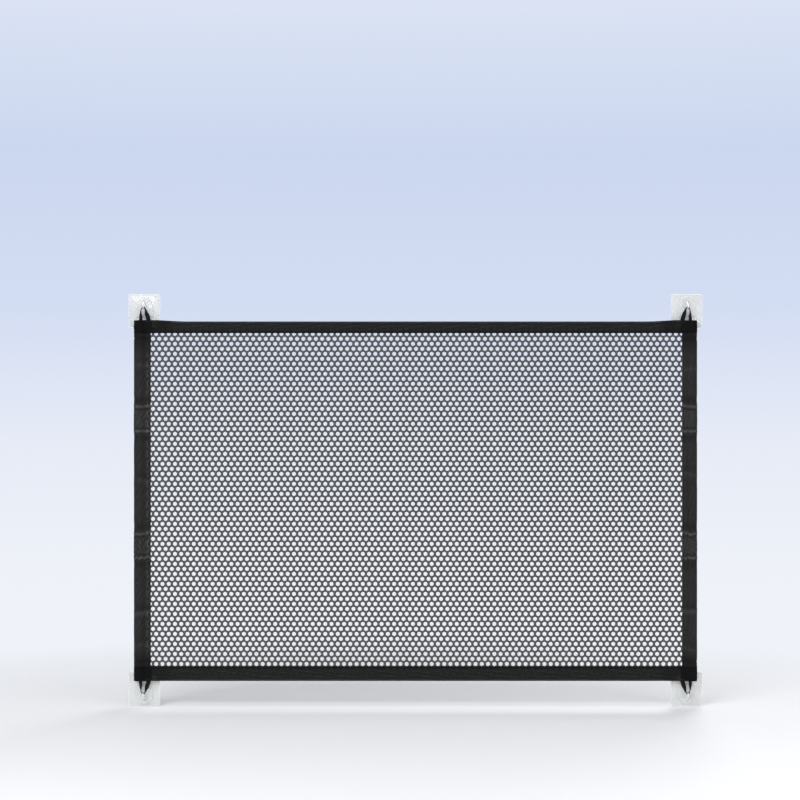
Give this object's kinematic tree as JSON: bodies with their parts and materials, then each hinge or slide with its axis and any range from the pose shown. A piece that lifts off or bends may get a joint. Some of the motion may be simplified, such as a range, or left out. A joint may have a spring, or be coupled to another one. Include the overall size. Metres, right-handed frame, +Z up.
{
  "type": "mesh pet gate",
  "caption": "Black mesh panel between two sleeved poles, hung by elastic loops on four clear adhesive wall hooks, to close a doorway to a pet.",
  "frame": {"origin": "under the middle of the whole object, at the height of the lower hook plates' bottom edge", "axes": "+X to the right along the gate, +Y into the wall, +Z up; the room is on the -Y side"},
  "size_m": [1.126, 0.0273, 0.809],
  "materials": {
    "net": "satin, PVC-coated polyester net with rounded hexagonal holes",
    "binding_fabric": "matt woven polyester",
    "sleeve_fabric": "matt woven polyester",
    "patch_fabric": "matt woven polyester",
    "thread": "satin polyester thread",
    "elastic": "ribbed woven elastic",
    "tube_steel": "semi-gloss powder coat",
    "plug_plastic": "moulded",
    "clear_plastic": "clear, slightly milky, glossy",
    "hook_steel": "bright nickel",
    "adhesive": "soft white gel"
  },
  "bodies": {
    "wall_hooks": {"top_left_hook_plate": "clear_plastic", "top_left_hook": "hook_steel", "top_left_adhesive_pad": "adhesive", "top_right_hook_plate": "clear_plastic", "top_right_hook": "hook_steel", "top_right_adhesive_pad": "adhesive", "bottom_left_hook_plate": "clear_plastic", "bottom_left_hook": "hook_steel", "bottom_left_adhesive_pad": "adhesive", "bottom_right_hook_plate": "clear_plastic", "bottom_right_hook": "hook_steel", "bottom_right_adhesive_pad": "adhesive"},
    "panel": {"mesh_panel": "net", "top_binding": "binding_fabric", "bottom_binding": "binding_fabric", "left_pole_sleeve": "sleeve_fabric", "right_pole_sleeve": "sleeve_fabric", "top_binding_stitching": "thread", "bottom_binding_stitching": "thread", "left_sleeve_stitching": "thread", "right_sleeve_stitching": "thread", "corner_bar_tacks": "thread", "top_left_corner_patch": "patch_fabric", "top_left_loop": "elastic", "top_right_corner_patch": "patch_fabric", "bottom_left_corner_patch": "patch_fabric", "bottom_left_loop": "elastic", "bottom_right_corner_patch": "patch_fabric", "left_pole_upper_tube": "tube_steel", "left_pole_lower_tube": "tube_steel", "left_pole_joiner": "plug_plastic", "left_pole_top_plug": "plug_plastic", "left_pole_bottom_plug": "plug_plastic", "right_pole_upper_tube": "tube_steel", "right_pole_lower_tube": "tube_steel", "right_pole_joiner": "plug_plastic", "right_pole_top_plug": "plug_plastic", "right_pole_bottom_plug": "plug_plastic"},
    "top_right_elastic": {"top_right_loop": "elastic"},
    "bottom_right_elastic": {"bottom_right_loop": "elastic"}
  },
  "joints": [
    {"name": "gate_swing", "type": "hinge", "parent": "wall_hooks", "child": "panel", "pos_m": [-0.54, -0.00285, 0.4045], "axis": [0, 0, -1], "range_deg": [0, 110], "deforming": ["top_left_loop", "bottom_left_loop"]},
    {"name": "top_right_loop_stretch", "type": "slide", "parent": "panel", "child": "top_right_elastic", "axis": [0, 0, 1], "range_m": [0, 0.016], "stiffness_N_per_m": 250, "deforming": ["top_right_loop"]},
    {"name": "bottom_right_loop_stretch", "type": "slide", "parent": "panel", "child": "bottom_right_elastic", "axis": [0, 0, -1], "range_m": [0, 0.016], "stiffness_N_per_m": 250, "deforming": ["bottom_right_loop"]}
  ]
}
